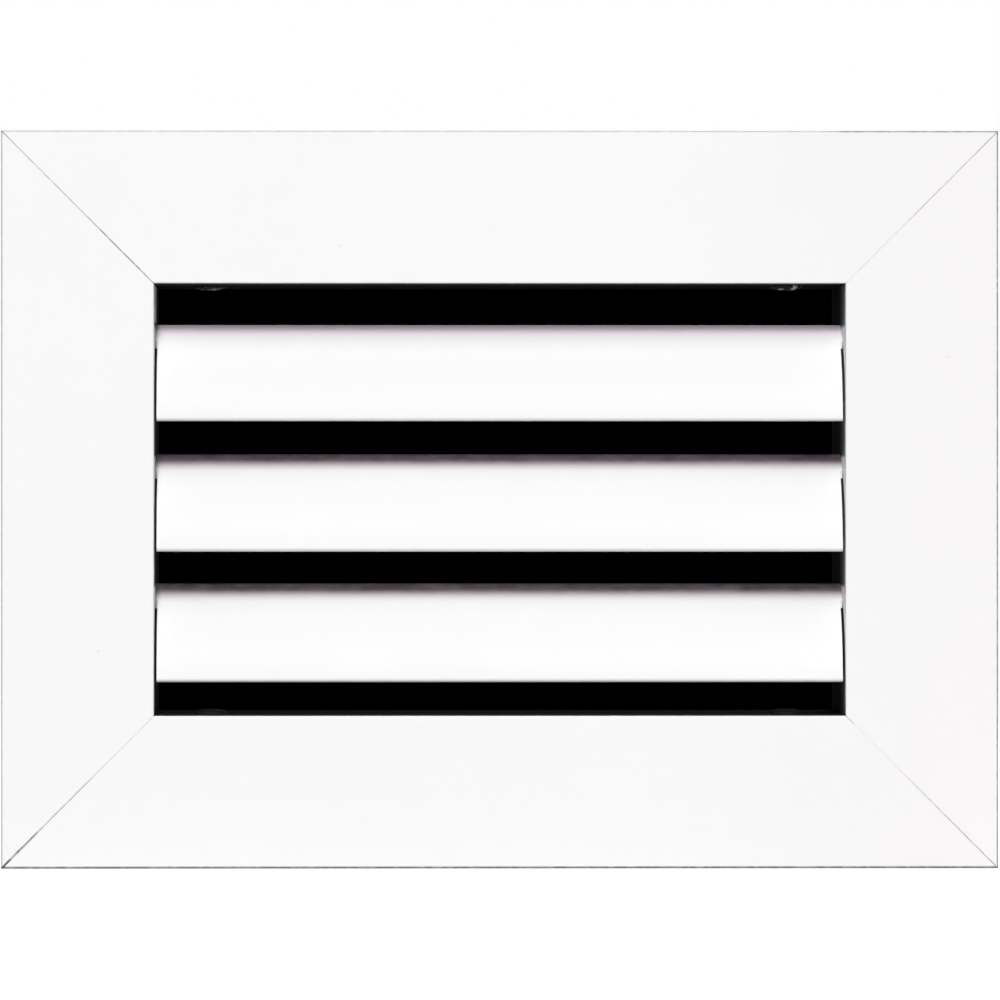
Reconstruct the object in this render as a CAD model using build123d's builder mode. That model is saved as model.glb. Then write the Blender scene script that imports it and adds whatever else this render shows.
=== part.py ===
from build123d import *

import os
from math import cos, radians, sin

# Return air grille for a wall opening, front towards -Y, +Z up, wall plane at y = 0.

# Overall sizes
opening_width = 136.0
opening_height = 85.0
flange_width = 30.0
flange_projection = 6.0  # the flange face stands this far in front of the wall
neck_depth = 36.0  # the neck reaches this far behind the wall plane

# Frame extrusion
face_thickness = 1.5
lip_thickness = 1.2
neck_thickness = 1.4
outer_edge_radius = 0.4
opening_edge_radius = 0.3
root_radius = 0.5
lip_edge_radius = 0.3
mitre_gap = 0.01

# Corner cleat and the channel behind the flange that holds it
cleat_width = 10.0
cleat_thickness = 1.6
cleat_leg = 26.0  # along each side, from the middle of the corner
cleat_corner_radius = 2.0
cleat_side_clearance = 0.1
cleat_back_clearance = 0.1
channel_inset = 15.0  # from the outer edge to the middle of the channel
rib_thickness = 1.0
hook_reach = 1.6
hook_thickness = 0.9

# Curved blades
blade_pitch = 25.67
blade_thickness = 1.4
blade_radius = 21.3  # of the convex face
blade_front_angle = 84.0  # slope of the blade at its front edge, from the horizontal
blade_rear_angle = 14.0  # slope at its rear edge
blade_setback = 1.0  # the front edge lies this far behind the flange face
bottom_gap = 6.6  # from the opening's lower edge to the lowest blade
end_relief = 0.5  # the front part of each blade end is cut back this far from the neck
relief_depth = 10.2  # and reaches this far behind the flange face

# Screw port along the underside of each blade
port_angle = 28.0  # slope of the blade where the port sits
port_bore = 3.0
port_wall = 1.2
port_slot = 1.5

# Blade screws, pan head
screw_fit = 0.05  # around the shank
screw_hole_clearance = 0.1  # around the shank, in the neck wall
screw_length = 9.5
screw_tip_length = 1.5
screw_tip_diameter = 1.2
screw_head_diameter = 5.6
screw_head_height = 2.1
screw_head_edge = 0.9  # straight rim under the crown
screw_crown_diameter = 3.4

# Spring clips on the neck, with the rivets that hold them
clip_inset = 11.0  # from the side of the opening to the middle of the clip
clip_width = 8.0
clip_thickness = 0.6
clip_foot_start = 3.0  # behind the wall plane
clip_foot_length = 10.0
clip_rise_length = 9.0
clip_fall_length = 11.0
clip_bow_height = 8.6  # to the corner that the crest rounds off
clip_foot_bend = 3.0
clip_crest_radius = 6.0
clip_slip = 0.05  # under the free end
rivet_diameter = 3.2
rivet_fit = 0.05  # around the shank
rivet_head_diameter = 6.4
rivet_head_height = 1.0
rivet_crown_diameter = 3.6
rivet_tail_diameter = 4.8
rivet_tail_height = 1.8
rivet_bulb_diameter = 2.8  # at the end of the tail

half_width = opening_width / 2
half_height = opening_height / 2
face_back = flange_projection - face_thickness

# Each side of the frame: its outward direction, the way it runs, the distance of its opening edge
# from the middle, and half the length of that edge
sides = {
    "top_rail": (Vector(0, 0, 1), Vector(1, 0, 0), half_height, half_width),
    "right_stile": (Vector(1, 0, 0), Vector(0, 0, -1), half_width, half_height),
    "bottom_rail": (Vector(0, 0, -1), Vector(-1, 0, 0), half_height, half_width),
    "left_stile": (Vector(-1, 0, 0), Vector(0, 0, 1), half_width, half_height),
}

# Blade section, from the middle of its rounded front edge: depth to the rear, then height
blade_middle_radius = blade_radius - blade_thickness / 2
blade_sweep = blade_front_angle - blade_rear_angle
blade_center = Vector(
    blade_middle_radius * sin(radians(blade_front_angle)),
    -blade_middle_radius * cos(radians(blade_front_angle)),
)
port_diameter = port_bore + 2 * port_wall
port_radial = Vector(-sin(radians(port_angle)), cos(radians(port_angle)))
port_center = blade_center + port_radial * (blade_middle_radius - port_diameter / 2)
blade_front_y = -flange_projection + blade_setback + blade_thickness / 2
blade_count = int((opening_height - bottom_gap) / blade_pitch)
blade_heights = [
    -half_height + bottom_gap + blade_thickness / 2 + blade_pitch * (blade_count - 1 - i)
    for i in range(blade_count)
]
screw_diameter = port_bore - 2 * screw_fit
screw_y = blade_front_y + port_center.X
screw_heights = [height + port_center.Y for height in blade_heights]

rivet_y = clip_foot_start + clip_foot_length / 2
clip_x = half_width - clip_inset


def frame_member(outward, along, reach, run, holes, hole_radius):
    # Section in the plane across the member: outward from the middle, then towards the front
    lip_reach = reach + flange_width
    channel = lip_reach - channel_inset
    rib_face = channel - cleat_width / 2 - cleat_side_clearance
    hook_top = face_back - cleat_thickness - cleat_back_clearance
    hook_foot = hook_top - hook_thickness
    with BuildPart() as member:
        with BuildSketch(Plane(origin=(0, 0, 0), x_dir=outward, z_dir=along)) as section:
            with BuildLine():
                Polyline(
                    (reach, flange_projection),
                    (lip_reach, flange_projection),
                    (lip_reach, 0),
                    (lip_reach - lip_thickness, 0),
                    (lip_reach - lip_thickness, face_back),
                    (reach + neck_thickness, face_back),
                    (reach + neck_thickness, -neck_depth),
                    (reach, -neck_depth),
                    close=True,
                )
            make_face()
            fillet(section.vertices().filter_by_position(Axis.Y, face_back, face_back), root_radius)
            fillet(section.vertices().filter_by_position(Axis.Y, 0, 0), lip_edge_radius)
            fillet(section.vertices().group_by(Axis.Y)[-1].sort_by(Axis.X)[0], opening_edge_radius)
            fillet(section.vertices().group_by(Axis.Y)[-1].sort_by(Axis.X)[-1], outer_edge_radius)
            with BuildLine():
                Polyline(
                    (rib_face - rib_thickness, face_back),
                    (rib_face - rib_thickness, hook_foot),
                    (rib_face + hook_reach, hook_foot),
                    (rib_face + hook_reach, hook_top),
                    (rib_face, hook_top),
                    (rib_face, face_back),
                    close=True,
                )
            rib = make_face()
            mirror(rib, about=Plane.YZ.offset(channel))
        extrude(amount=run + flange_width, both=True)
        # Mitred ends, each cut back by half of the gap
        for end in (1, -1):
            cut_normal = (along * end - outward).normalized()
            corner = outward * reach + along * (end * run)
            cut = Plane(origin=corner - cut_normal * (mitre_gap / 2), z_dir=cut_normal)
            split(bisect_by=cut, keep=Keep.BOTTOM)
        neck_outside = outward * (reach + neck_thickness)
        with Locations(*[Plane(origin=neck_outside + hole, z_dir=outward) for hole in holes]):
            Hole(hole_radius)
    return member


def corner_cleat(toward_side, toward_top):
    # An L plate against the back of the flange, with its legs in two channels
    corner_x = toward_side * (half_width + flange_width - channel_inset)
    corner_z = toward_top * (half_height + flange_width - channel_inset)
    rearward = -toward_side * toward_top
    plate = Plane(origin=(corner_x, -face_back, corner_z), x_dir=(-toward_side, 0, 0), z_dir=(0, rearward, 0))
    half = cleat_width / 2
    with BuildPart() as cleat:
        with BuildSketch(plate) as outline:
            with BuildLine():
                Polyline(
                    (-half, -half),
                    (cleat_leg, -half),
                    (cleat_leg, half),
                    (half, half),
                    (half, cleat_leg),
                    (-half, cleat_leg),
                    close=True,
                )
            make_face()
            outer_corners = outline.vertices().sort_by_distance((half, half))[1:]
            fillet(outer_corners, cleat_corner_radius)
        extrude(amount=rearward * cleat_thickness)
    return cleat


def curved_blade(height):
    with BuildPart() as blade:
        section_plane = Plane(origin=(0, blade_front_y, height), x_dir=(0, 1, 0), z_dir=(1, 0, 0))
        with BuildSketch(section_plane):
            with BuildLine(mode=Mode.PRIVATE) as middle:
                CenterArc(blade_center, blade_middle_radius, 90 + blade_rear_angle, blade_sweep)
            SlotArc(middle.wire(), blade_thickness)
            with Locations(port_center):
                Circle(port_diameter / 2)
                Circle(port_bore / 2, mode=Mode.SUBTRACT)
            slot_center = port_center - port_radial * (port_diameter / 2)
            with Locations(Location(slot_center, (0, 0, port_angle))):
                Rectangle(port_slot, port_diameter, mode=Mode.SUBTRACT)
        extrude(amount=half_width, both=True)
        # Front part of both ends, clear of the neck
        relief_y = relief_depth - flange_projection
        relief_plane = Plane(origin=(0, relief_y, height), x_dir=(1, 0, 0), z_dir=(0, -1, 0))
        with BuildSketch(relief_plane):
            with Locations((half_width, 0), (-half_width, 0)):
                Rectangle(2 * end_relief, 2 * blade_pitch)
        extrude(amount=relief_depth, mode=Mode.SUBTRACT)
    return blade


def pan_head_screw():
    # Axis along Z, the head's seat at z = 0
    with BuildPart() as screw:
        with BuildSketch(Plane.XZ):
            with BuildLine():
                Polyline(
                    (0, -screw_length),
                    (screw_tip_diameter / 2, -screw_length),
                    (screw_diameter / 2, -screw_length + screw_tip_length),
                    (screw_diameter / 2, 0),
                    (screw_head_diameter / 2, 0),
                    (screw_head_diameter / 2, screw_head_edge),
                    (screw_crown_diameter / 2, screw_head_height),
                    (0, screw_head_height),
                    close=True,
                )
            make_face()
        revolve(axis=Axis.Z)
    return screw


def clip_rivet():
    # Axis along Z, crowned head under the neck's inner face at z = 0, formed tail outside the clip
    shank = rivet_diameter / 2 - rivet_fit
    grip = neck_thickness + clip_thickness
    with BuildPart() as rivet:
        with BuildSketch(Plane.XZ):
            with BuildLine():
                Polyline(
                    (0, -rivet_head_height),
                    (rivet_crown_diameter / 2, -rivet_head_height),
                    (rivet_head_diameter / 2, 0),
                    (shank, 0),
                    (shank, grip),
                    (rivet_tail_diameter / 2, grip),
                    (rivet_bulb_diameter / 2, grip + rivet_tail_height),
                    (0, grip + rivet_tail_height),
                    close=True,
                )
            make_face()
        revolve(axis=Axis.Z)
    return rivet


def spring_clip(place_x, toward_top):
    # A bowed leaf: riveted foot towards the wall, crest, free end on the neck towards the duct
    neck_outside = toward_top * (half_height + neck_thickness)
    side_plane = Plane(origin=(place_x, 0, neck_outside), x_dir=(0, 1, 0), z_dir=(toward_top, 0, 0))
    foot_end = clip_foot_start + clip_foot_length
    crest = foot_end + clip_rise_length
    lying = clip_thickness / 2
    with BuildPart() as clip:
        with BuildSketch(side_plane):
            with BuildLine(mode=Mode.PRIVATE) as leaf:
                FilletPolyline(
                    (clip_foot_start + lying, lying),
                    (foot_end, lying),
                    (crest, clip_bow_height),
                    (crest + clip_fall_length, lying + clip_slip),
                    radius=[clip_foot_bend, clip_crest_radius],
                )
            SlotArc(leaf.wire(), clip_thickness)
        extrude(amount=clip_width / 2, both=True)
        foot_top = neck_outside + toward_top * clip_thickness
        with Locations(Plane(origin=(place_x, rivet_y, foot_top), z_dir=(0, 0, toward_top))):
            Hole(rivet_diameter / 2)
    return clip


os.makedirs("parts", exist_ok=True)

# Frame sides, with screw holes in the stiles and rivet holes in the rails
for name, (outward, along, reach, run) in sides.items():
    if name.endswith("stile"):
        holes = [Vector(0, screw_y, height) for height in screw_heights]
        radius = screw_diameter / 2 + screw_hole_clearance
    else:
        holes = [Vector(x, rivet_y, 0) for x in (clip_x, -clip_x)]
        radius = rivet_diameter / 2
    member = frame_member(outward, along, reach, run, holes, radius)
    member.part.label = name
    export_step(member.part, f"parts/{name}.step")

# Blades, counted from the top
for number, height in enumerate(blade_heights, start=1):
    blade = curved_blade(height)
    blade.part.label = f"blade_{number}"
    export_step(blade.part, f"parts/blade_{number}.step")

# One cleat behind each corner, one clip near each corner of the neck
corners = [("left", -1), ("right", 1)]
levels = [("top", 1), ("bottom", -1)]
for level, toward_top in levels:
    for hand, toward_side in corners:
        cleat = corner_cleat(toward_side, toward_top)
        cleat.part.label = f"corner_cleat_{level}_{hand}"
        export_step(cleat.part, f"parts/corner_cleat_{level}_{hand}.step")
        clip = spring_clip(toward_side * clip_x, toward_top)
        clip.part.label = f"spring_clip_{level}_{hand}"
        export_step(clip.part, f"parts/spring_clip_{level}_{hand}.step")

# Screws through both side necks into the blades' ports
screw = pan_head_screw()
screw_seats = [
    Plane(origin=(side * (half_width + neck_thickness), screw_y, height), z_dir=(side, 0, 0))
    for side in (-1, 1)
    for height in screw_heights
]
with BuildPart() as blade_screws:
    with Locations(*screw_seats):
        add(screw.part)
blade_screws.part.label = "blade_screws"
export_step(blade_screws.part, "parts/blade_screws.step")

# Rivets from inside the neck through the clips' feet
rivet = clip_rivet()
rivet_seats = [
    Plane(origin=(side * clip_x, rivet_y, toward_top * half_height), z_dir=(0, 0, toward_top))
    for _, toward_top in levels
    for _, side in corners
]
with BuildPart() as clip_rivets:
    with Locations(*rivet_seats):
        add(rivet.part)
clip_rivets.part.label = "clip_rivets"
export_step(clip_rivets.part, "parts/clip_rivets.step")
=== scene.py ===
import math

import bmesh
import bpy
from mathutils import Matrix, Vector


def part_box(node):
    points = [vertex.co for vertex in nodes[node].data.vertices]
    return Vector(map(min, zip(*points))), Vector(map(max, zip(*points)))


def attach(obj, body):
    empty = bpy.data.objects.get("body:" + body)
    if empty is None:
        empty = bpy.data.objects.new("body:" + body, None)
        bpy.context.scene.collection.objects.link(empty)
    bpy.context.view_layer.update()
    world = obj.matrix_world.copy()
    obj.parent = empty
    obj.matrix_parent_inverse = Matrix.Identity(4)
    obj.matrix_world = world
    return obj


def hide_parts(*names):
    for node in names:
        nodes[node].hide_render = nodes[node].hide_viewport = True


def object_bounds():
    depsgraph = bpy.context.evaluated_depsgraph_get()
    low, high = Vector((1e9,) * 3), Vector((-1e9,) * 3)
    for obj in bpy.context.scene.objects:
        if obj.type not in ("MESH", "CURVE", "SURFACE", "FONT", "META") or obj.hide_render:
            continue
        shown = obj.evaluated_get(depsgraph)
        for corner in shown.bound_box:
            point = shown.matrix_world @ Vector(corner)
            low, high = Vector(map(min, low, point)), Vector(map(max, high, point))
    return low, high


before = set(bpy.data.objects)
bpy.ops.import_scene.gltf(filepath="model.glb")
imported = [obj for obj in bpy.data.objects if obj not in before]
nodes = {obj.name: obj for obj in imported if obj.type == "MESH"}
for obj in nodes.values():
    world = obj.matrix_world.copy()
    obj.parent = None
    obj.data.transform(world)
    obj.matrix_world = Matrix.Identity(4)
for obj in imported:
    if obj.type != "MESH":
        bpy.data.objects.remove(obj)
cadLow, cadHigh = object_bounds()
mm = 0.001
print("frame loaded:", len(nodes), "nodes")

# Main places, read from the frame: the flange face, the opening and the rear of the neck
flangeFront = cadLow.y
neckRear = cadHigh.y
floorHeight = cadLow.z
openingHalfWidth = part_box("right_stile")[0].x
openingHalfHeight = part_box("top_rail")[0].z
flangeWidth = cadHigh.x - openingHalfWidth


class Wire:  # a shader value, so that sums and products add their own Math nodes
    def __init__(self, bench, socket):
        self.bench = bench
        self.socket = socket

    def __add__(self, other):
        return self.bench.maths("ADD", self, other)

    def __radd__(self, other):
        return self.bench.maths("ADD", other, self)

    def __sub__(self, other):
        return self.bench.maths("SUBTRACT", self, other)

    def __rsub__(self, other):
        return self.bench.maths("SUBTRACT", other, self)

    def __mul__(self, other):
        return self.bench.maths("MULTIPLY", self, other)

    def __rmul__(self, other):
        return self.bench.maths("MULTIPLY", other, self)

    def __truediv__(self, other):
        return self.bench.maths("DIVIDE", self, other)

    def __gt__(self, other):
        return self.bench.maths("GREATER_THAN", self, other)

    def __lt__(self, other):
        return self.bench.maths("LESS_THAN", self, other)

    def __abs__(self):
        return self.bench.maths("ABSOLUTE", self)

    def larger(self, other):
        return self.bench.maths("MAXIMUM", self, other)


class Bench:  # one node tree, of a material or of the world
    def __init__(self, tree):
        self.tree = tree
        tree.nodes.clear()

    def node(self, kind, settings=None, values=None, out=0):
        made = self.tree.nodes.new("ShaderNode" + kind)
        for key, setting in (settings or {}).items():
            setattr(made, key, setting)
        for key, value in (values or {}).items():
            if isinstance(value, Wire):
                self.tree.links.new(value.socket, made.inputs[key])
            else:
                made.inputs[key].default_value = value
        return Wire(self, made.outputs[out] if made.outputs else None)

    def maths(self, operation, *values):
        return self.node("Math", {"operation": operation}, dict(enumerate(values)))

    def ease(self, value, start, end):  # 0 before start, 1 after end
        limits = {"Value": value, "From Min": start, "From Max": end}
        return self.node("MapRange", {"interpolation_type": "SMOOTHSTEP"}, limits)

    def blend(self, share, first, second):  # of two colours
        return self.node("Mix", {"data_type": "RGBA"}, {0: share, 6: first, 7: second}, 2)

    def apart(self, first, second):
        return self.node("VectorMath", {"operation": "DISTANCE"}, {0: first, 1: second}, "Value")

    def speckle(self, place, grain, detail=2.0, stretch=None):  # noise with grains of this size, 0 to 1
        if stretch:
            place = self.node("VectorMath", {"operation": "MULTIPLY"}, {0: place, 1: stretch})
        return self.node("TexNoise", None, {"Vector": place, "Scale": 1 / grain, "Detail": detail})

    def place(self):
        return self.node("TexCoord", out="Object")

    def parts(self, place):
        first = self.node("SeparateXYZ", None, {0: place})
        return [Wire(self, pin) for pin in first.socket.node.outputs]

    def bumped(self, height, depth):
        return self.node("Bump", None, {"Height": height, "Distance": depth, "Strength": 1.0})

    def surface(self, values):
        shader = self.node("BsdfPrincipled", None, values)
        self.node("OutputMaterial", None, {"Surface": shader})


class Spot:  # the place that is shaded, with its depth behind the flange face
    def __init__(self, bench):
        self.place = bench.place()
        self.x, y, self.z = bench.parts(self.place)
        self.depth = y - flangeFront


def newFinish(name):
    material = bpy.data.materials.new(name)
    material.use_nodes = True
    return material, Bench(material.node_tree)


# White powder coat of the frame and the blades. Depths are measured from the flange face
coat = {
    "roughness": 0.56,
    "mottleRoughness": 0.12,
    "peelRoughness": 0.08,
    "shine": 0.32,
    "peelGrain": 0.9 * mm,
    "peelDepth": 0.004 * mm,
    "mottleGrain": 24 * mm,
    "rightShadeWhite": (0.812, 0.792, 0.802, 1),  # painted shade, greyer towards the right end
    "rightShadeFrom": 20 * mm,
    "rightShadeTo": 95 * mm,
    "rightShadeShare": 0.8,
    "rightShadeMottle": 0.3,
}

frameLook = {
    "white": (0.838, 0.838, 0.839, 1),
    "wallMiddle": 0.6 * mm,  # from the inner face of the neck, beyond which the hidden side begins
    "thinCoat": (0.76, 0.76, 0.77, 1),  # hidden side, less powder
    "thinFrom": 1.2 * mm,
    "thinFull": 5 * mm,
    "thinGrain": 7 * mm,
    "thinShare": 0.6,
    "thinRoughness": 0.18,
    "unevenGrain": 1.6 * mm,  # of the painted edge shade and of the mitre grime and shade
    "edgeShadeGrey": (0.20, 0.19, 0.20, 1),  # painted shade along the outer edges
    "edgeBand": (0.49 * mm, 0.105 * mm),  # from the outside, where it starts and is full
    "lowEdgeBand": (0.595 * mm, 0.28 * mm),
    "edgeDepth": 0.5 * mm,
    "leftEdge": 0.55,  # how much painted shade each edge has
    "rightEdge": 0.92,
    "topEdge": 0.52,
    "topRightEdge": 0.94,
    "topRightLength": 4 * mm,  # over which the top edge changes, left of the opening's right end
    "lowEdge": 0.97,
    # grime and painted shade of the hairline gap in the mitres
    "grimeAndShade": (0.10, 0.085, 0.095, 1),
    "violetGrimeAndShade": (0.19, 0.16, 0.215, 1),  # in the right-hand mitres
    "grimeAndShadeRoughness": 0.3,
    # By side and level: strength, then what is added from the middle on, further out, at the corner
    # and at the very start
    "mitres": {
        (-1, 1): (0.82, -0.32, 0.0, 0.1, 0.0),
        (1, 1): (0.14, 0.28, 0.12, 0.0, 0.0),
        (-1, -1): (0.20, 0.38, 0.42, 0.0, 0.0),
        (1, -1): (0.06, 0.41, 0.19, 0.0, 0.5),
    },
    "mitreHalfWidth": 0.19 * mm,
    "mitreWiden": 0.6,  # at the outer end of the lower left one
    "mitreWobble": 0.16 * mm,
    "wobbleGrain": 2.4 * mm,
    "mitreDepth": 0.6 * mm,
    # x, z and radius of the faint specks on the flange
    "specks": ((-31.4, 49.8, 0.36), (-78.9, -29.8, 0.40), (88.0, 28.0, 0.34)),
    "speckShare": 0.13,
    "speckCore": 0.3,  # of the radius
}


def edgeShade(bench, spot):
    # Painted shade along the outer edges: least at the left and the top, most at the bottom
    def near(place, edge, band):
        return bench.ease(place, edge - band[0], edge - band[1])

    sideEdge = near(abs(spot.x), cadHigh.x, frameLook["edgeBand"])
    topEdge = near(spot.z, cadHigh.z, frameLook["edgeBand"])
    lowEdge = near(-1 * spot.z, cadHigh.z, frameLook["lowEdgeBand"])
    side = frameLook["leftEdge"] + (frameLook["rightEdge"] - frameLook["leftEdge"]) * (spot.x > 0)
    atRight = bench.ease(spot.x, openingHalfWidth - frameLook["topRightLength"], openingHalfWidth)
    top = frameLook["topEdge"] + (frameLook["topRightEdge"] - frameLook["topEdge"]) * atRight
    level = (topEdge * top).larger(lowEdge * frameLook["lowEdge"])
    return (sideEdge * side).larger(level) * (spot.depth < frameLook["edgeDepth"])


def mitreShade(bench, spot):
    # Grime and painted shade of the hairline gap in the four mitres: strength along each one, from its inner
    # to its outer corner
    sideRun = abs(spot.x) - openingHalfWidth
    levelRun = abs(spot.z) - openingHalfHeight
    wobble = (bench.speckle(spot.place, frameLook["wobbleGrain"], 3.0) - 0.5) * frameLook["mitreWobble"]
    across = abs(sideRun - levelRun + wobble) * math.sqrt(0.5)
    along = (sideRun + levelRun) * (0.5 / flangeWidth)
    outer = bench.ease(along, 0.7, 0.85)
    stretches = (
        bench.ease(along, 0.3, 0.5),
        outer,
        bench.ease(along, 0.9, 1.0),
        1 - bench.ease(along, 0.02, 0.07),
    )
    strength = 0.0
    for (side, level), (inner, *added) in frameLook["mitres"].items():
        grimeAndShade = inner
        for share, stretch in zip(added, stretches):
            if share:
                grimeAndShade = grimeAndShade + share * stretch
        strength = strength + grimeAndShade * (spot.x * side > 0) * (spot.z * level > 0)
    lowerLeft = (spot.x < 0) * (spot.z < 0)
    widest = frameLook["mitreHalfWidth"] * (1 + frameLook["mitreWiden"] * outer * lowerLeft)
    line = 1 - bench.ease(across / widest, 0.35, 1.0)
    onFlange = (along > -0.01) * (spot.depth < frameLook["mitreDepth"])
    return strength * line * onFlange


def speckShade(bench, spot):
    flat = bench.node("CombineXYZ", None, {0: spot.x, 2: spot.z})
    spotted = 0.0
    for speckX, speckZ, radius in frameLook["specks"]:
        reach = bench.apart(flat, Vector((speckX, 0, speckZ)) * mm)
        spotted = spotted + (1 - bench.ease(reach, frameLook["speckCore"] * radius * mm, radius * mm))
    return spotted * (spot.depth < frameLook["edgeDepth"]) * frameLook["speckShare"]


def coatParts(bench, spot):
    # What the frame and the blades share: the share of painted shade towards the right, with a random mottle,
    # the roughness and the orange peel
    peel = bench.speckle(spot.place, coat["peelGrain"])
    mottle = bench.speckle(spot.place, coat["mottleGrain"], 3.0)
    rightShade = bench.ease(spot.x, coat["rightShadeFrom"], coat["rightShadeTo"]) * coat["rightShadeShare"]
    rightShade = rightShade + (mottle - 0.5) * coat["rightShadeMottle"]
    roughness = coat["roughness"] + (mottle - 0.5) * coat["mottleRoughness"]
    roughness = roughness + (peel - 0.5) * coat["peelRoughness"]
    return rightShade, roughness, bench.bumped(peel, coat["peelDepth"])


def satin(bench, colour, roughness, normal):
    values = {"Base Color": colour, "Roughness": roughness, "Normal": normal}
    return bench.node("BsdfPrincipled", None, {**values, "Specular IOR Level": coat["shine"]})


def frameFinish(name):
    material, bench = newFinish(name)
    spot = Spot(bench)
    rightShade, roughness, normal = coatParts(bench, spot)
    # The white, with painted shade towards the right
    colour = bench.blend(rightShade, frameLook["white"], coat["rightShadeWhite"])
    beside = (abs(spot.x) - openingHalfWidth).larger(abs(spot.z) - openingHalfHeight)
    hidden = bench.ease(spot.depth, frameLook["thinFrom"], frameLook["thinFull"])
    hidden = hidden * (beside > frameLook["wallMiddle"])
    patchy = bench.ease(bench.speckle(spot.place, frameLook["thinGrain"], 4.0), 0.3, 0.8)
    colour = bench.blend(hidden * patchy * frameLook["thinShare"], colour, frameLook["thinCoat"])
    uneven = bench.ease(bench.speckle(spot.place, frameLook["unevenGrain"], 3.0), 0.3, 0.62)
    # Painted shade along the outer edges, then grime and painted shade in the mitres, and the specks
    colour = bench.blend(edgeShade(bench, spot) * (0.7 + 0.3 * uneven), colour, frameLook["edgeShadeGrey"])
    specksGrimeAndShade = (mitreShade(bench, spot) * (0.55 + 0.45 * uneven)).larger(speckShade(bench, spot))
    colour = bench.blend(specksGrimeAndShade, colour, bench.blend(spot.x > 0, frameLook["grimeAndShade"], frameLook["violetGrimeAndShade"]))
    roughness = roughness + hidden * frameLook["thinRoughness"] + specksGrimeAndShade * frameLook["grimeAndShadeRoughness"]
    shader = satin(bench, colour, roughness, normal)
    shader = paintedNeckShade(bench, shader, spot, beside, normal)
    bench.node("OutputMaterial", None, {"Surface": shader})
    return material


# Painted shade inside the neck: grey behind the opening's edge, near black at the rear, darker on the rails;
# painted light stays on the walls in front of the blades and on the upper left wall
neckLook = {
    "stileGrey": (0.14, 0.13, 0.145, 1),
    "railGrey": (0.03, 0.03, 0.033, 1),
    "dark": (0.007, 0.007, 0.008, 1),
    "shine": 0.04,
    "roughness": 0.6,
    "deepRoughness": 0.2,  # added at the rear
    "wallReach": 0.25 * mm,  # what lies this close to the opening is an inner face
    "railReach": 0.2 * mm,
    "from": 0.2 * mm,
    "stileFull": 5 * mm,
    "railFull": 0.8 * mm,
    "darkFull": 22 * mm,
    "paleAbove": 34.5 * mm,  # painted light on the left wall above this height
    "paleEase": 1 * mm,
    "paleTo": (20.8 * mm, 26 * mm),  # and as far back as this
    "paleShare": 0.8,
    "bladeRadius": 21.3 * mm,  # of the convex face, up to which the walls beside a blade are left white, as lit
    "bladeRise": 20.7 * mm,  # from the middle of that curve to the blade's top
    "bladeEase": 0.4 * mm,
    "bladeEndEase": 1 * mm,
}


def beforeBlades(bench, spot):
    # 1 on the stretches of the side walls that lie in front of a blade, where painted light replaces the
    # painted shade
    section = bench.node("CombineXYZ", None, {0: spot.depth, 1: spot.z})
    radius = neckLook["bladeRadius"]
    margin = neckLook["bladeEndEase"]
    before = 0.0
    for name in ("blade_1", "blade_2", "blade_3"):
        low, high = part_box(name)
        centre = (low.y - flangeFront + radius, high.z - neckLook["bladeRise"], 0)
        ahead = bench.ease(bench.apart(section, centre), radius, radius + neckLook["bladeEase"])
        below = 1 - bench.ease(spot.z, high.z - margin, high.z)
        before = before + ahead * bench.ease(spot.z, low.z, low.z + margin) * below
    return before


def paintedNeckShade(bench, shader, spot, beside, normal):
    # Painted shade: the inner faces of the neck turn from grey to near black, with little shine
    onRail = abs(spot.z) > openingHalfHeight - neckLook["railReach"]
    full = onRail * neckLook["railFull"] + (1 - onRail) * neckLook["stileFull"]
    within = bench.ease(spot.depth, neckLook["from"], full) * (beside < neckLook["wallReach"])
    within = within * (1 - beforeBlades(bench, spot))
    upper = bench.ease(spot.z, neckLook["paleAbove"], neckLook["paleAbove"] + neckLook["paleEase"])
    upperLeft = upper * (spot.x < 0) * (1 - onRail)
    pale = upperLeft * (1 - bench.ease(spot.depth, *neckLook["paleTo"]))
    within = within * (1 - neckLook["paleShare"] * pale)
    deep = bench.ease(spot.depth, neckLook["railFull"], neckLook["darkFull"])
    grey = bench.blend(onRail, neckLook["stileGrey"], neckLook["railGrey"])
    values = {
        "Base Color": bench.blend(deep, grey, neckLook["dark"]),
        "Roughness": neckLook["roughness"] + neckLook["deepRoughness"] * deep,
        "Normal": normal,
        "Specular IOR Level": neckLook["shine"],
    }
    inner = bench.node("BsdfPrincipled", None, values)
    return bench.node("MixShader", None, {0: within, 1: shader, 2: inner})


bladeLook = {
    # Painted shade and light on the blades: darker at the front, lighter on the crown, lightest on the
    # uppermost blade's crown
    "front": (0.799, 0.799, 0.800, 1),
    "crown": (0.898, 0.898, 0.899, 1),
    "litTopCrown": (0.972, 0.972, 0.973, 1),  # painted light on the crown of the uppermost blade
    "crownFrom": 2 * mm,
    "crownFull": 9 * mm,
    "rightShadeShare": 0.2,  # share of the painted shade towards the right on the frame
    "topFrom": 10 * mm,  # heights between which the uppermost blade begins
    "topFull": 26 * mm,
    "shadeTint": (0.890, 0.740, 0.835, 1),  # painted shade tint on the rear of the blades' tops
    "topShadeTint": (0.972, 0.862, 0.950, 1),
    "dustAndShadow": (0.112, 0.082, 0.101, 1),  # dust and the painted shadow of the blade above, which lie there, except on the uppermost blade
    "topShadeFrom": 9.5 * mm,
    "topShadeFull": 14.2 * mm,
    "dustAndShadowGrain": 5 * mm,
    "dustRoughness": 0.3,
    "endGapShade": (0.03, 0.026, 0.03, 1),  # painted shade in the gap between the cut-back ends and the neck
    "endRelief": 0.52 * mm,  # the front part of a blade's end stands just within this from the neck
    "stepDepth": 10.2 * mm,  # of the step behind the cut-back part, which is left without that painted shade
    "stepMargin": 0.05 * mm,
}


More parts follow.
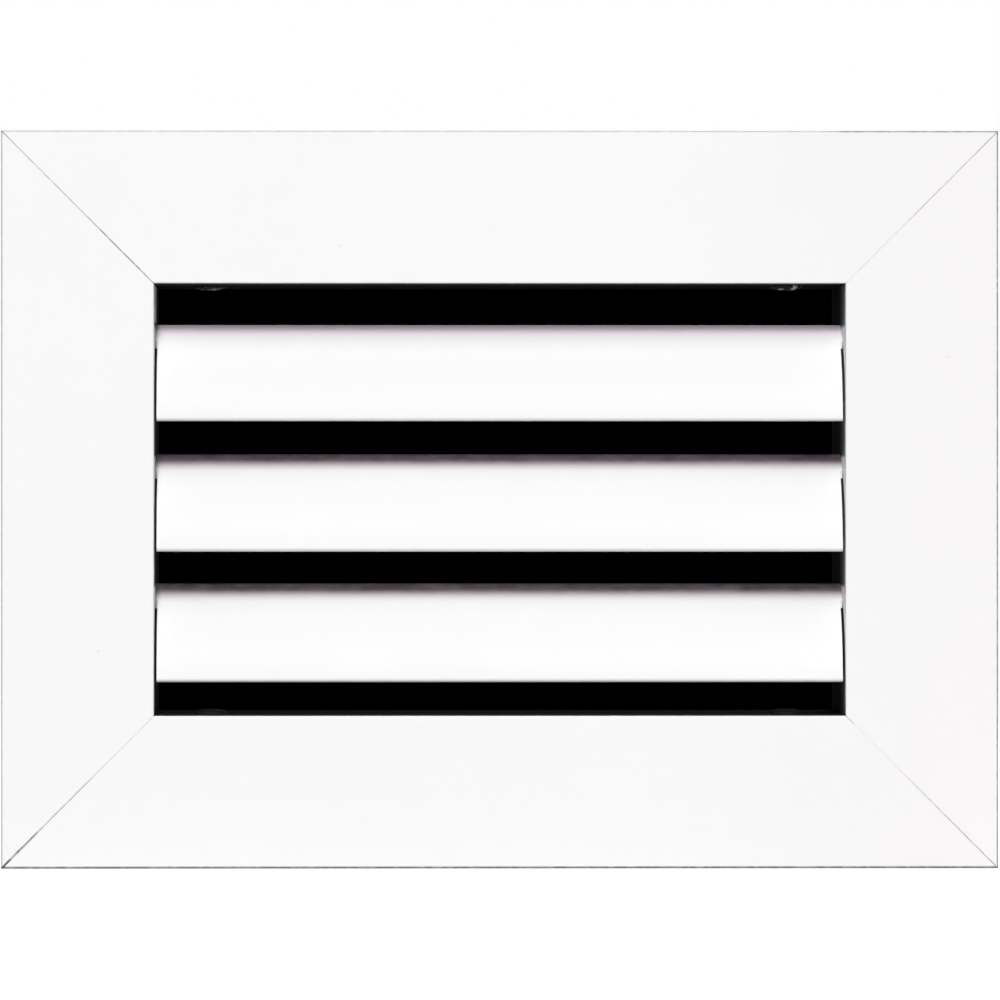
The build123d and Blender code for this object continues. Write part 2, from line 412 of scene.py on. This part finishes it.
def bladeFinish(name):
    material, bench = newFinish(name)
    spot = Spot(bench)
    rightShade, roughness, normal = coatParts(bench, spot)
    onTop = bench.ease(spot.z, bladeLook["topFrom"], bladeLook["topFull"])
    crowned = bench.ease(spot.depth, bladeLook["crownFrom"], bladeLook["crownFull"])
    crown = bench.blend(onTop, bladeLook["crown"], bladeLook["litTopCrown"])
    white = bench.blend(crowned, bladeLook["front"], crown)
    # Some of the painted shade towards the right
    colour = bench.blend(rightShade * bladeLook["rightShadeShare"], white, coat["rightShadeWhite"])
    upward = bench.ease(bench.parts(bench.node("NewGeometry", out="Normal"))[2], 0.3, 0.7)
    # Painted shade tint, dust and painted shadow of the blade above on the rear of the tops
    shadedTop = bench.ease(spot.depth, bladeLook["topShadeFrom"], bladeLook["topShadeFull"]) * upward
    shadeTint = bench.blend(onTop, bladeLook["shadeTint"], bladeLook["topShadeTint"])
    colour = bench.blend(shadedTop, colour, shadeTint)
    patchy = bench.ease(bench.speckle(spot.place, bladeLook["dustAndShadowGrain"], 4.0), 0.2, 0.8)
    dustAndShadowShare = shadedTop * (1 - onTop) * (0.86 + 0.14 * patchy)
    colour = bench.blend(dustAndShadowShare, colour, bladeLook["dustAndShadow"])
    atEnd = abs(spot.x) > openingHalfWidth - bladeLook["endRelief"]
    offStep = abs(spot.depth - bladeLook["stepDepth"]) > bladeLook["stepMargin"]
    # Painted shade on the blade ends in the gap beside the neck
    colour = bench.blend(atEnd * offStep * (1 - upward), colour, bladeLook["endGapShade"])
    shader = satin(bench, colour, roughness + dustAndShadowShare * bladeLook["dustRoughness"], normal)
    bench.node("OutputMaterial", None, {"Surface": shader})
    return material


zinc = {
    "grey": (0.62, 0.64, 0.66, 1),
    "pale": (0.76, 0.77, 0.78, 1),
    "spangle": 2.2 * mm,
    "dullGrain": 6 * mm,
    "scratchGrain": 0.5 * mm,
    "scratchStretch": (0.06, 1, 1),
    "scratchDepth": 0.006 * mm,
}


def zincPlate(name):
    material, bench = newFinish(name)
    place = bench.place()
    spangle = bench.node("TexVoronoi", None, {"Vector": place, "Scale": 1 / zinc["spangle"]}, "Color")
    shade = bench.parts(spangle)[0]
    dull = bench.speckle(place, zinc["dullGrain"], 4.0)
    scratch = bench.speckle(place, zinc["scratchGrain"], 2.0, zinc["scratchStretch"])
    bench.surface(
        {
            "Base Color": bench.blend(shade * 0.7 + dull * 0.3, zinc["grey"], zinc["pale"]),
            "Roughness": 0.30 + shade * 0.12 + dull * 0.12,
            "Metallic": 1.0,
            "Normal": bench.bumped(scratch + shade * 0.2, zinc["scratchDepth"]),
        }
    )
    return material


spring = {
    "grey": (0.36, 0.36, 0.38, 1),
    "blue": (0.30, 0.33, 0.40, 1),
    "tintGrain": 9 * mm,
    "rollGrain": 0.25 * mm,
    "rollStretch": (1, 0.03, 0.03),  # rolling lines run along the leaf
    "rollDepth": 0.004 * mm,
}


def springSteel(name):
    material, bench = newFinish(name)
    place = bench.place()
    rolled = bench.speckle(place, spring["rollGrain"], 2.0, spring["rollStretch"])
    tint = bench.ease(bench.speckle(place, spring["tintGrain"]), 0.4, 0.7)
    bench.surface(
        {
            "Base Color": bench.blend(tint, spring["grey"], spring["blue"]),
            "Roughness": 0.22 + rolled * 0.16 + tint * 0.06,
            "Metallic": 1.0,
            "Normal": bench.bumped(rolled, spring["rollDepth"]),
        }
    )
    return material


plated = {
    "grey": (0.66, 0.66, 0.65, 1),
    "warm": (0.70, 0.68, 0.60, 1),
    "patchGrain": 2.5 * mm,
    "fineGrain": 0.3 * mm,
    "fineDepth": 0.003 * mm,
}


def platedScrew(name):
    material, bench = newFinish(name)
    place = bench.place()
    passivated = bench.ease(bench.speckle(place, plated["patchGrain"], 3.0), 0.45, 0.7)
    fine = bench.speckle(place, plated["fineGrain"])
    bench.surface(
        {
            "Base Color": bench.blend(passivated, plated["grey"], plated["warm"]),
            "Roughness": 0.24 + fine * 0.2,
            "Metallic": 1.0,
            "Normal": bench.bumped(fine, plated["fineDepth"]),
        }
    )
    return material


aluminium = {
    "grey": (0.74, 0.74, 0.75, 1),
    "dull": (0.58, 0.58, 0.59, 1),
    "headShade": (0.016, 0.016, 0.018, 1),  # painted shade on the heads inside the neck, with bare patches on the upper ones
    "shine": 0.1,
    "dullGrain": 1.2 * mm,
    "wearGrain": 1.8 * mm,
    "fineGrain": 0.2 * mm,
    "fineDepth": 0.004 * mm,
}


def rivetAluminium(name):
    material, bench = newFinish(name)
    place = bench.place()
    z = bench.parts(place)[2]
    dull = bench.speckle(place, aluminium["dullGrain"], 3.0)
    fine = bench.speckle(place, aluminium["fineGrain"])
    bare = bench.blend(dull, aluminium["grey"], aluminium["dull"])
    worn = bench.ease(bench.speckle(place, aluminium["wearGrain"], 3.0), 0.52, 0.62) * (z > 0)
    # Painted shade on the heads inside the neck
    headShade = (abs(z) < openingHalfHeight) * (1 - worn)
    bench.surface(
        {
            "Base Color": bench.blend(headShade, bare, aluminium["headShade"]),
            "Roughness": 0.34 + fine * 0.18 + headShade * 0.3,
            "Metallic": 1 - headShade,
            "Normal": bench.bumped(fine, aluminium["fineDepth"]),
            "Specular IOR Level": aluminium["shine"],
        }
    )
    return material


frameCoat = frameFinish("powder_coat_frame")
bladeCoat = bladeFinish("powder_coat_blades")
cleatZinc = zincPlate("zinc_plated_cleats")
clipSteel = springSteel("spring_steel_clips")
screwZinc = platedScrew("zinc_plated_screws")
rivetMetal = rivetAluminium("rivet_aluminium")

finishOf = {
    "rail": frameCoat,
    "stile": frameCoat,
    "blade_screws": screwZinc,
    "clip_rivets": rivetMetal,
    "blade": bladeCoat,
    "corner_cleat": cleatZinc,
    "spring_clip": clipSteel,
}
for nodeName, node in nodes.items():
    finish = next(found for word, found in finishOf.items() if word in nodeName)
    node.data.materials.clear()
    node.data.materials.append(finish)
print("finishes:", len(bpy.data.materials))


def turnedMesh(name, outline, steps, ripple=None):
    # A form turned round Z from (radius, height) points, with the first and last on the axis
    shape = bmesh.new()
    rings = []
    for radius, height in outline:
        if radius == 0:
            rings.append([shape.verts.new((0, 0, height))] * steps)
            continue
        ring = []
        for i in range(steps):
            angle = math.tau * i / steps
            swelling = radius + (ripple(angle, height) if ripple else 0)
            ring.append(shape.verts.new((swelling * math.cos(angle), swelling * math.sin(angle), height)))
        rings.append(ring)
    for lower, upper in zip(rings, rings[1:]):
        for i in range(steps):
            j = (i + 1) % steps
            corners = list(dict.fromkeys((lower[i], lower[j], upper[j], upper[i])))
            if len(corners) > 2:
                shape.faces.new(corners)
    return closedMesh(name, shape)


def closedMesh(name, shape):
    bmesh.ops.recalc_face_normals(shape, faces=shape.faces)
    mesh = bpy.data.meshes.new(name)
    shape.to_mesh(mesh)
    shape.free()
    return mesh


def arcPoints(centreRadius, centreHeight, radius, start, end, count):
    # Points of an arc in the turned outline, by angles in degrees from the radius direction
    angles = [math.radians(start + (end - start) * i / (count - 1)) for i in range(count)]
    return [(centreRadius + radius * math.cos(a), centreHeight + radius * math.sin(a)) for a in angles]


def domePoints(rimRadius, topRadius, rimHeight, topHeight, count):
    # A quarter ellipse from the rim to the crown
    points = []
    for i in range(count):
        angle = math.radians(90 * i / (count - 1))
        radius = topRadius + (rimRadius - topRadius) * math.cos(angle)
        points.append((radius, rimHeight + (topHeight - rimHeight) * math.sin(angle)))
    return points


sharpAngle = math.radians(38)  # steeper edges of the fasteners are shaded sharp


def placeCopies(name, mesh, seats, finish, nodeName):
    # The same fastener at each seat, as one piece that stands for the node
    group = bmesh.new()
    for seat in seats:
        copy = mesh.copy()
        copy.transform(seat)
        group.from_mesh(copy)
        bpy.data.meshes.remove(copy)
    joined = bpy.data.meshes.new(name)
    group.to_mesh(joined)
    group.free()
    joined.shade_smooth()
    joined.set_sharp_from_angle(angle=sharpAngle)
    joined.materials.append(finish)
    piece = bpy.data.objects.new(name, joined)
    bpy.context.scene.collection.objects.link(piece)
    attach(piece, "root")
    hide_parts(nodeName)
    print(name, "faces:", len(joined.polygons))


def seatAt(place, axis, turn=0):
    # Z of the fastener along this axis, turned by some degrees about it
    aimed = axis.to_track_quat("Z", "Y").to_matrix().to_4x4()
    return Matrix.Translation(place) @ aimed @ Matrix.Rotation(math.radians(turn), 4, "Z")


# Blade screws: pan head with a cross recess, rolled thread
screw = {
    "neckThickness": 1.4 * mm,
    "headBreak": 0.1 * mm,  # at the seat
    "rim": 0.7 * mm,
    "crownRadius": 0.9 * mm,
    "domeSteps": 9,
    "shankRadius": 1.42 * mm,
    "threadDepth": 0.36 * mm,
    "threadStart": 1.68 * mm,  # below the seat
    "threadFlank": 2.6,
    "rowsPerTurn": 8,
    "pitch": 1.05 * mm,
    "length": 9.5 * mm,
    "tipLength": 1.5 * mm,
    "tipRadius": 0.5 * mm,
    "recessReach": 1.55 * mm,
    "recessHalfWidth": 0.36 * mm,
    "recessDepth": 1.25 * mm,
    "recessFlare": 1.1,
    "recessTaper": 0.45,
    "cutterRise": 0.3 * mm,  # above the head
    "turns": (12, 67, 38, 81, 25, 54),  # how far each one is driven round, in degrees
    "steps": 36,
}


def makeBladeScrews():
    low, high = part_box("blade_screws")
    headRadius = (high.y - low.y) / 2
    seatX = openingHalfWidth + screw["neckThickness"]
    headHeight = high.x - seatX
    pitch = screw["pitch"]
    threadEnd = -screw["length"] + screw["tipLength"]

    def thread(angle, height):
        if height > -screw["threadStart"] or height < threadEnd:
            return 0
        turn = (height / pitch - angle / math.tau) % 1
        return -screw["threadDepth"] * min(1, abs(turn - 0.5) * screw["threadFlank"])

    outline = [(0, -screw["length"]), (screw["tipRadius"], -screw["length"])]
    rows = int((screw["length"] - screw["tipLength"]) / pitch * screw["rowsPerTurn"])
    for i in range(rows + 1):
        outline.append((screw["shankRadius"], threadEnd * (1 - i / rows)))
    outline.append((headRadius - screw["headBreak"], 0))
    outline.append((headRadius, screw["headBreak"]))
    outline += domePoints(headRadius, screw["crownRadius"], screw["rim"], headHeight, screw["domeSteps"])
    outline.append((0, headHeight))
    body = bpy.data.objects.new("screwBody", turnedMesh("screwBody", outline, screw["steps"], thread))
    cutter = bpy.data.objects.new("crossCutter", crossCutter(headHeight))
    for made in (body, cutter):
        bpy.context.scene.collection.objects.link(made)
    cut = body.modifiers.new("recess", "BOOLEAN")
    cut.operation = "DIFFERENCE"
    cut.solver = "EXACT"
    cut.object = cutter
    depsgraph = bpy.context.evaluated_depsgraph_get()
    mesh = bpy.data.meshes.new_from_object(body.evaluated_get(depsgraph))
    for made in (body, cutter):
        bpy.data.objects.remove(made)
    middleY = (low.y + high.y) / 2
    heights = (low.z + headRadius, (low.z + high.z) / 2, high.z - headRadius)
    seats = []
    for side in (-1, 1):
        for height in heights:
            turn = screw["turns"][len(seats)]
            seats.append(seatAt(Vector((side * seatX, middleY, height)), Vector((side, 0, 0)), turn))
    placeCopies("blade_screws_threaded", mesh, seats, screwZinc, "blade_screws")


def crossCutter(top):
    long = screw["recessReach"]
    half = screw["recessHalfWidth"]
    arm = [(half, half), (long, half), (long, -half)]
    corners = []
    for quarter in range(4):
        turn = Matrix.Rotation(-math.radians(90) * quarter, 2)
        corners += [turn @ Vector(point) for point in arm]
    shape = bmesh.new()
    levels = (
        (top + screw["cutterRise"], screw["recessFlare"]),
        (top - screw["recessDepth"], screw["recessTaper"]),
    )
    rings = []
    for height, scale in levels:
        rings.append([shape.verts.new((c.x * scale, c.y * scale, height)) for c in corners])
    shape.faces.new(rings[0])
    shape.faces.new(list(reversed(rings[1])))
    for i in range(len(corners)):
        j = (i + 1) % len(corners)
        shape.faces.new((rings[0][i], rings[1][i], rings[1][j], rings[0][j]))
    return closedMesh("crossCutter", shape)


# Blind rivets: domed head with the broken mandrel, swollen tail outside the clip
rivet = {
    "neckThickness": 1.4 * mm,
    "clipThickness": 0.6 * mm,
    "rim": 0.25 * mm,
    "rimBreak": 0.04 * mm,
    "shankRadius": 1.55 * mm,
    "headHeight": 1.0 * mm,
    "domeSteps": 10,
    "mandrelRadius": 0.85 * mm,
    "mandrelDepth": 0.45 * mm,
    # The mandrel's end, a little proud in its hole: shares of that radius and depth
    "mandrelEnd": ((0, 0.7), (0.55, 0.8), (0.85, 1), (1, 1)),
    "holeBreak": 0.08 * mm,
    "tailRadius": 2.4 * mm,
    "tailBreak": 0.1 * mm,
    "bulgeInset": 0.55 * mm,
    "bulgeArc": (-60, 80, 9),  # from and to, in degrees, and steps
    "stemRadius": 1.3 * mm,
    "stemLength": 0.7 * mm,
    "stemFoot": 0.05 * mm,
    "stemWall": 0.35 * mm,  # below the top, where the stem's straight side ends
    "stemDome": 0.3 * mm,
    "stemTopRadius": 0.3 * mm,
    "stemSteps": 6,
    "steps": 40,
}


def makeClipRivets():
    low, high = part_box("clip_rivets")
    headRadius = (high.y - low.y) / 2
    grip = rivet["neckThickness"] + rivet["clipThickness"]
    tailTop = high.z - openingHalfHeight
    head = -rivet["headHeight"]
    hole = rivet["mandrelRadius"]
    outline = [(hole * out, head + rivet["mandrelDepth"] * deep) for out, deep in rivet["mandrelEnd"]]
    outline.append((hole, head + rivet["holeBreak"]))
    crown = domePoints(headRadius, hole + rivet["holeBreak"], -rivet["rim"], head, rivet["domeSteps"])
    outline += list(reversed(crown))
    outline += [(headRadius, -rivet["rimBreak"]), (headRadius - rivet["rimBreak"], 0)]
    outline += [(rivet["shankRadius"], 0), (rivet["shankRadius"], grip)]
    outline += [(rivet["tailRadius"] - rivet["tailBreak"], grip)]
    bulgeTop = tailTop - rivet["stemLength"]
    bulgeRadius = (bulgeTop - grip) / 2
    bulgeCentre = rivet["tailRadius"] - rivet["bulgeInset"]
    outline += arcPoints(bulgeCentre, (grip + bulgeTop) / 2, bulgeRadius, *rivet["bulgeArc"])
    stem = rivet["stemRadius"]
    outline += [(stem + rivet["stemFoot"], bulgeTop + rivet["stemFoot"]), (stem, tailTop - rivet["stemWall"])]
    stemRim = tailTop - rivet["stemDome"]
    outline += domePoints(stem, rivet["stemTopRadius"], stemRim, tailTop, rivet["stemSteps"])
    outline.append((0, tailTop))
    mesh = turnedMesh("rivetBody", outline, rivet["steps"])
    middleY = (low.y + high.y) / 2
    placeX = high.x - headRadius
    seats = []
    for level in (-1, 1):
        for side in (-1, 1):
            place = Vector((side * placeX, middleY, level * openingHalfHeight))
            seats.append(seatAt(place, Vector((0, 0, level))))
    placeCopies("clip_rivets_set", mesh, seats, rivetMetal, "clip_rivets")


makeBladeScrews()
makeClipRivets()


# Stage: a pale floor under the frame, and a dark card just inside the rear of the neck, painted shade that
# stands for the unlit duct
stageLook = {
    "floorSize": 8.0,
    "floorWhite": (0.50, 0.50, 0.50, 1),
    "floorLift": 0.70,  # added for the camera, so that the lit floor is white and its shadow stays
    "fadeFrom": 0.35,
    "fadeTo": 1.2,
    "cardInset": 0.1 * mm,  # from the rear of the neck
    "cardOverlap": 0.4 * mm,  # into the neck walls
    "cardPass": 0.1,  # share of the light that the card lets through
}


def flatSheet(name, corners):
    mesh = bpy.data.meshes.new(name)
    mesh.from_pydata(corners, [], [tuple(range(len(corners)))])
    sheet = bpy.data.objects.new(name, mesh)
    bpy.context.scene.collection.objects.link(sheet)
    return sheet


def seenDirectly(bench):
    # 1 for camera, glossy and transmission rays
    seen = bench.node("LightPath", out="Is Camera Ray")
    for ray in ("Is Glossy Ray", "Is Transmission Ray"):
        seen = seen.larger(bench.node("LightPath", out=ray))
    return seen


def layFloor():
    half = stageLook["floorSize"] / 2
    corners = [(-half, -half, floorHeight), (half, -half, floorHeight), (half, half, floorHeight)]
    floor = flatSheet("floor", corners + [(-half, half, floorHeight)])
    material, bench = newFinish("pale_floor")
    far = bench.node("VectorMath", {"operation": "LENGTH"}, {0: bench.place()}, "Value")
    away = bench.ease(far, stageLook["fadeFrom"], stageLook["fadeTo"])
    seen = seenDirectly(bench)
    matte = bench.node("BsdfDiffuse", None, {"Color": stageLook["floorWhite"]})
    glow = bench.node("Emission", None, {"Strength": stageLook["floorLift"]})
    lifted = bench.node("AddShader", None, {0: matte, 1: glow})
    lit = bench.node("MixShader", None, {0: seen, 1: matte, 2: lifted})
    plain = bench.node("Emission", None, {"Strength": 1.0})
    mixed = bench.node("MixShader", None, {0: away * seen, 1: lit, 2: plain})
    bench.node("OutputMaterial", None, {"Surface": mixed})
    floor.data.materials.append(material)


def hangCard():
    x = openingHalfWidth + stageLook["cardOverlap"]
    z = openingHalfHeight + stageLook["cardOverlap"]
    y = neckRear - stageLook["cardInset"]
    card = flatSheet("duct_shade_card", [(-x, y, -z), (x, y, -z), (x, y, z), (-x, y, z)])
    material, bench = newFinish("duct_shade_card")
    fromBehind = bench.node("NewGeometry", out="Backfacing")
    passing = (1 - bench.node("LightPath", out="Is Camera Ray")) * stageLook["cardPass"]
    black = bench.node("BsdfDiffuse", None, {"Color": (0, 0, 0, 1)})
    clear = bench.node("BsdfTransparent")
    mixed = bench.node("MixShader", None, {0: fromBehind.larger(passing), 1: black, 2: clear})
    bench.node("OutputMaterial", None, {"Surface": mixed})
    card.data.materials.append(material)


layFloor()
hangCard()
print("stage ready")


# Light: an even surround, a far key from the upper front, a lower front light and one behind
lights = {
    "surround": 0.30,
    "key": {"at": (-0.3, -4.4, 2.92), "angle": 0.19, "strength": 1.61},
    "front": {"at": (-0.2, -4.4, 1.96), "angle": 0.08, "strength": 1.175},
    "rear": {"at": (1.1, 2.0, 1.4), "size": 1.6, "power": 50.0},
}


def hangLight(name, plan):
    if "angle" in plan:
        lamp = bpy.data.lights.new(name, "SUN")
        lamp.angle = plan["angle"]
        lamp.energy = plan["strength"]
    else:
        lamp = bpy.data.lights.new(name, "AREA")
        lamp.shape = "SQUARE"
        lamp.size = plan["size"]
        lamp.energy = plan["power"]
    holder = bpy.data.objects.new(name, lamp)
    holder.location = plan["at"]
    holder.rotation_mode = "QUATERNION"
    holder.rotation_quaternion = (-Vector(plan["at"])).to_track_quat("-Z", "Y")
    holder.visible_camera = False
    bpy.context.scene.collection.objects.link(holder)


def lightRoom():
    world = bpy.data.worlds.new("studio")
    world.use_nodes = True
    bpy.context.scene.world = world
    bench = Bench(world.node_tree)
    surround = bench.node("Background", None, {"Strength": lights["surround"]})
    white = bench.node("Background", None, {"Color": (1, 1, 1, 1), "Strength": 1.0})
    mixed = bench.node("MixShader", None, {0: seenDirectly(bench), 1: surround, 2: white})
    bench.node("OutputWorld", None, {"Surface": mixed})
    for name in ("key", "front", "rear"):
        hangLight(name, lights[name])


lightRoom()
print("lights ready")

# Camera: square to the wall, a little to the left of the middle
camera = {
    "distance": 1.484,  # from the flange face
    "left": 32 * mm,
    "down": 0.08 * mm,
    "frameWidth": 196.45 * mm,  # what the picture spans at the flange face
    "sensor": 36.0,
    "shift": 0.08,
    "nearest": 0.05,
    "farthest": 50,
}


def standCamera():
    eye = bpy.data.cameras.new("camera")
    eye.sensor_width = camera["sensor"]
    eye.lens = camera["sensor"] * camera["distance"] / camera["frameWidth"]
    eye.shift_x = camera["shift"]
    eye.clip_start = camera["nearest"]
    eye.clip_end = camera["farthest"]
    holder = bpy.data.objects.new("camera", eye)
    holder.location = (-camera["left"], flangeFront - camera["distance"], -camera["down"])
    aside = camera["left"] - camera["shift"] * camera["frameWidth"]
    turn = math.atan2(aside, camera["distance"])
    holder.rotation_euler = (math.radians(90), 0, -turn)
    bpy.context.scene.collection.objects.link(holder)
    bpy.context.scene.camera = holder


standCamera()
bpy.context.scene.view_settings.view_transform = "Standard"
print("camera ready")
